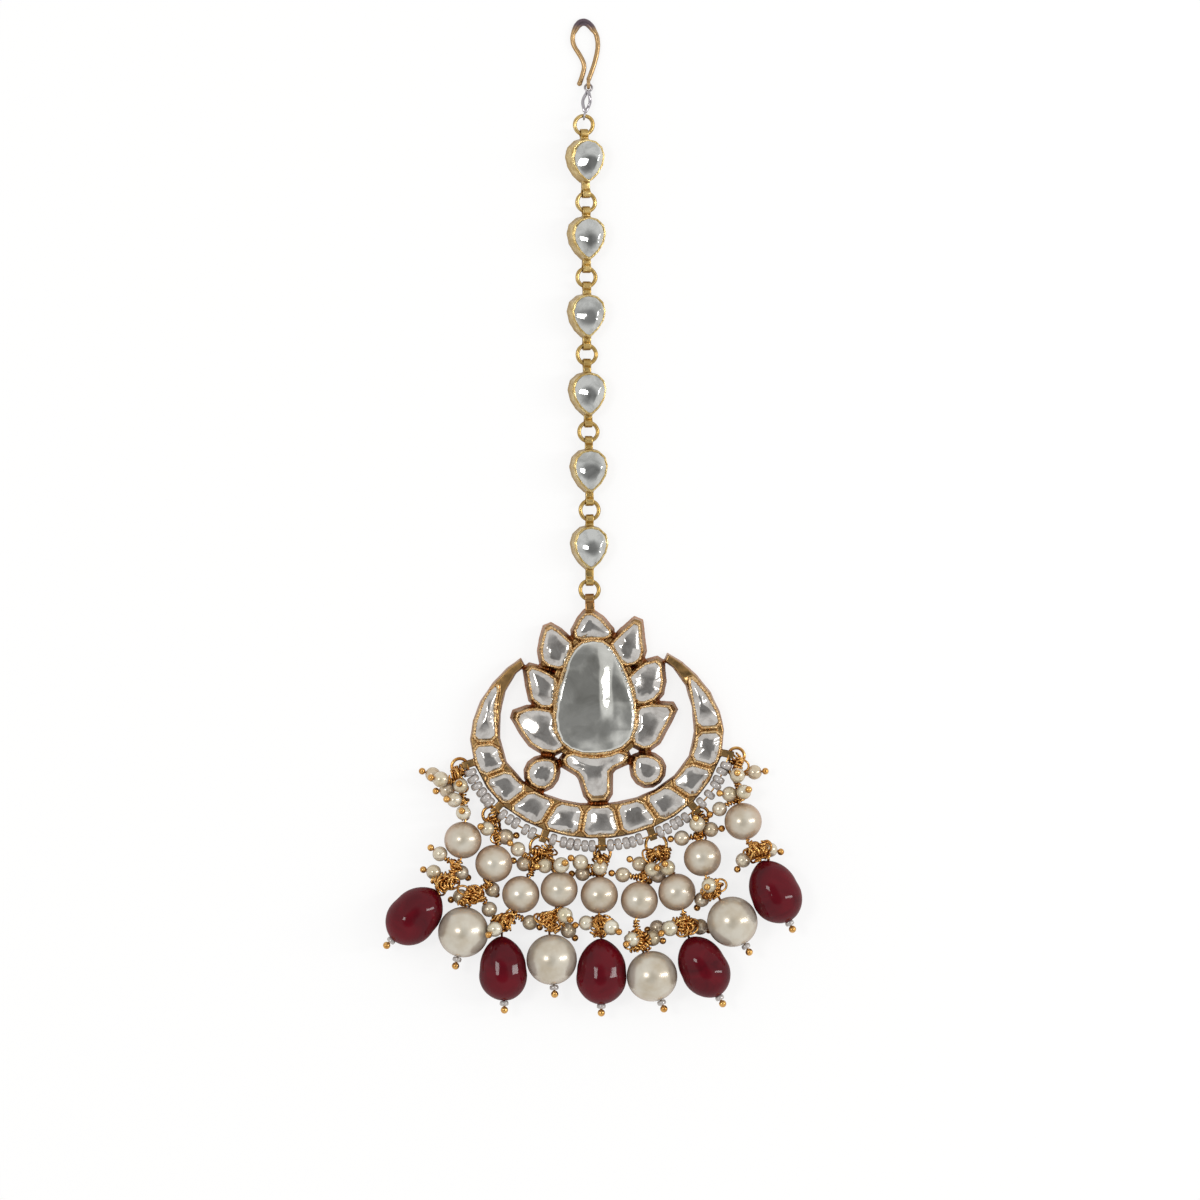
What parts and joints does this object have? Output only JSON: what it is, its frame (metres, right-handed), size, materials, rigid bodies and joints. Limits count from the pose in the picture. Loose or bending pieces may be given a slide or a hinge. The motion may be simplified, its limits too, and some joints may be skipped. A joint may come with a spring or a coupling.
{
  "type": "maang tikka",
  "caption": "Kundan head jewel lying on its back: hair hook, teardrop link chain, lotus pendant in a stone crescent, and a fringe of pearl and ruby bead dangles.",
  "frame": {"origin": "on the pendant's flat back, under its large centre stone", "axes": "+Y runs along the chain from the pendant to the hair hook, +Z is the face that is seen, +X is to the right as the jewel is seen with the hook up"},
  "size_m": [0.0729, 0.174, 0.0088],
  "materials": {
    "gold": "polished",
    "gold_wire": "polished",
    "hook_wire": "worn",
    "silver_wire": "polished",
    "foil_stone": "foil-backed",
    "ruby_glass": "gloss",
    "pearl": "satin",
    "seed_glass": "satin"
  },
  "bodies": {
    "root": {"centre_stone": "foil_stone", "crescent_stones": "foil_stone", "dangle_pearls_1": "pearl", "dangle_pearls_2": "pearl", "dangle_pearls_3": "pearl", "dangle_pearls_4": "pearl", "dangle_pearls_5": "pearl", "dangle_pearls_6": "pearl", "dangle_pearls_7": "pearl", "dangle_pearls_8": "pearl", "dangle_pearls_9": "pearl", "drop_pins": "gold_wire", "hair_hook": "hook_wire", "jump_ring_1": "gold", "jump_ring_2": "gold", "jump_ring_3": "gold", "jump_ring_4": "gold", "jump_ring_5": "gold", "jump_ring_6": "gold", "jump_ring_7": "gold", "leaf_stone_left": "foil_stone", "leaf_stone_right": "foil_stone", "link_setting_1": "gold", "link_setting_2": "gold", "link_setting_3": "gold", "link_setting_4": "gold", "link_setting_5": "gold", "link_setting_6": "gold", "link_stone_1": "foil_stone", "link_stone_2": "foil_stone", "link_stone_3": "foil_stone", "link_stone_4": "foil_stone", "link_stone_5": "foil_stone", "link_stone_6": "foil_stone", "pearl_drop_1": "pearl", "pearl_drop_2": "pearl", "pearl_drop_3": "pearl", "pearl_drop_4": "pearl", "pearl_pins_centre": "gold_wire", "pearl_pins_left": "gold_wire", "pearl_pins_right": "gold_wire", "pendant_frame": "gold", "petal_stone_lower_left": "foil_stone", "petal_stone_lower_right": "foil_stone", "petal_stone_mid_left": "foil_stone", "petal_stone_mid_right": "foil_stone", "petal_stone_top": "foil_stone", "petal_stone_upper_left": "foil_stone", "petal_stone_upper_right": "foil_stone", "ruby_drop_1": "ruby_glass", "ruby_drop_2": "ruby_glass", "ruby_drop_3": "ruby_glass", "ruby_drop_4": "ruby_glass", "ruby_drop_5": "ruby_glass", "seed_strand": "seed_glass", "stem_stone": "foil_stone", "tab_rings": "gold_wire", "twisted_loop": "silver_wire"}
  },
  "joints": []
}
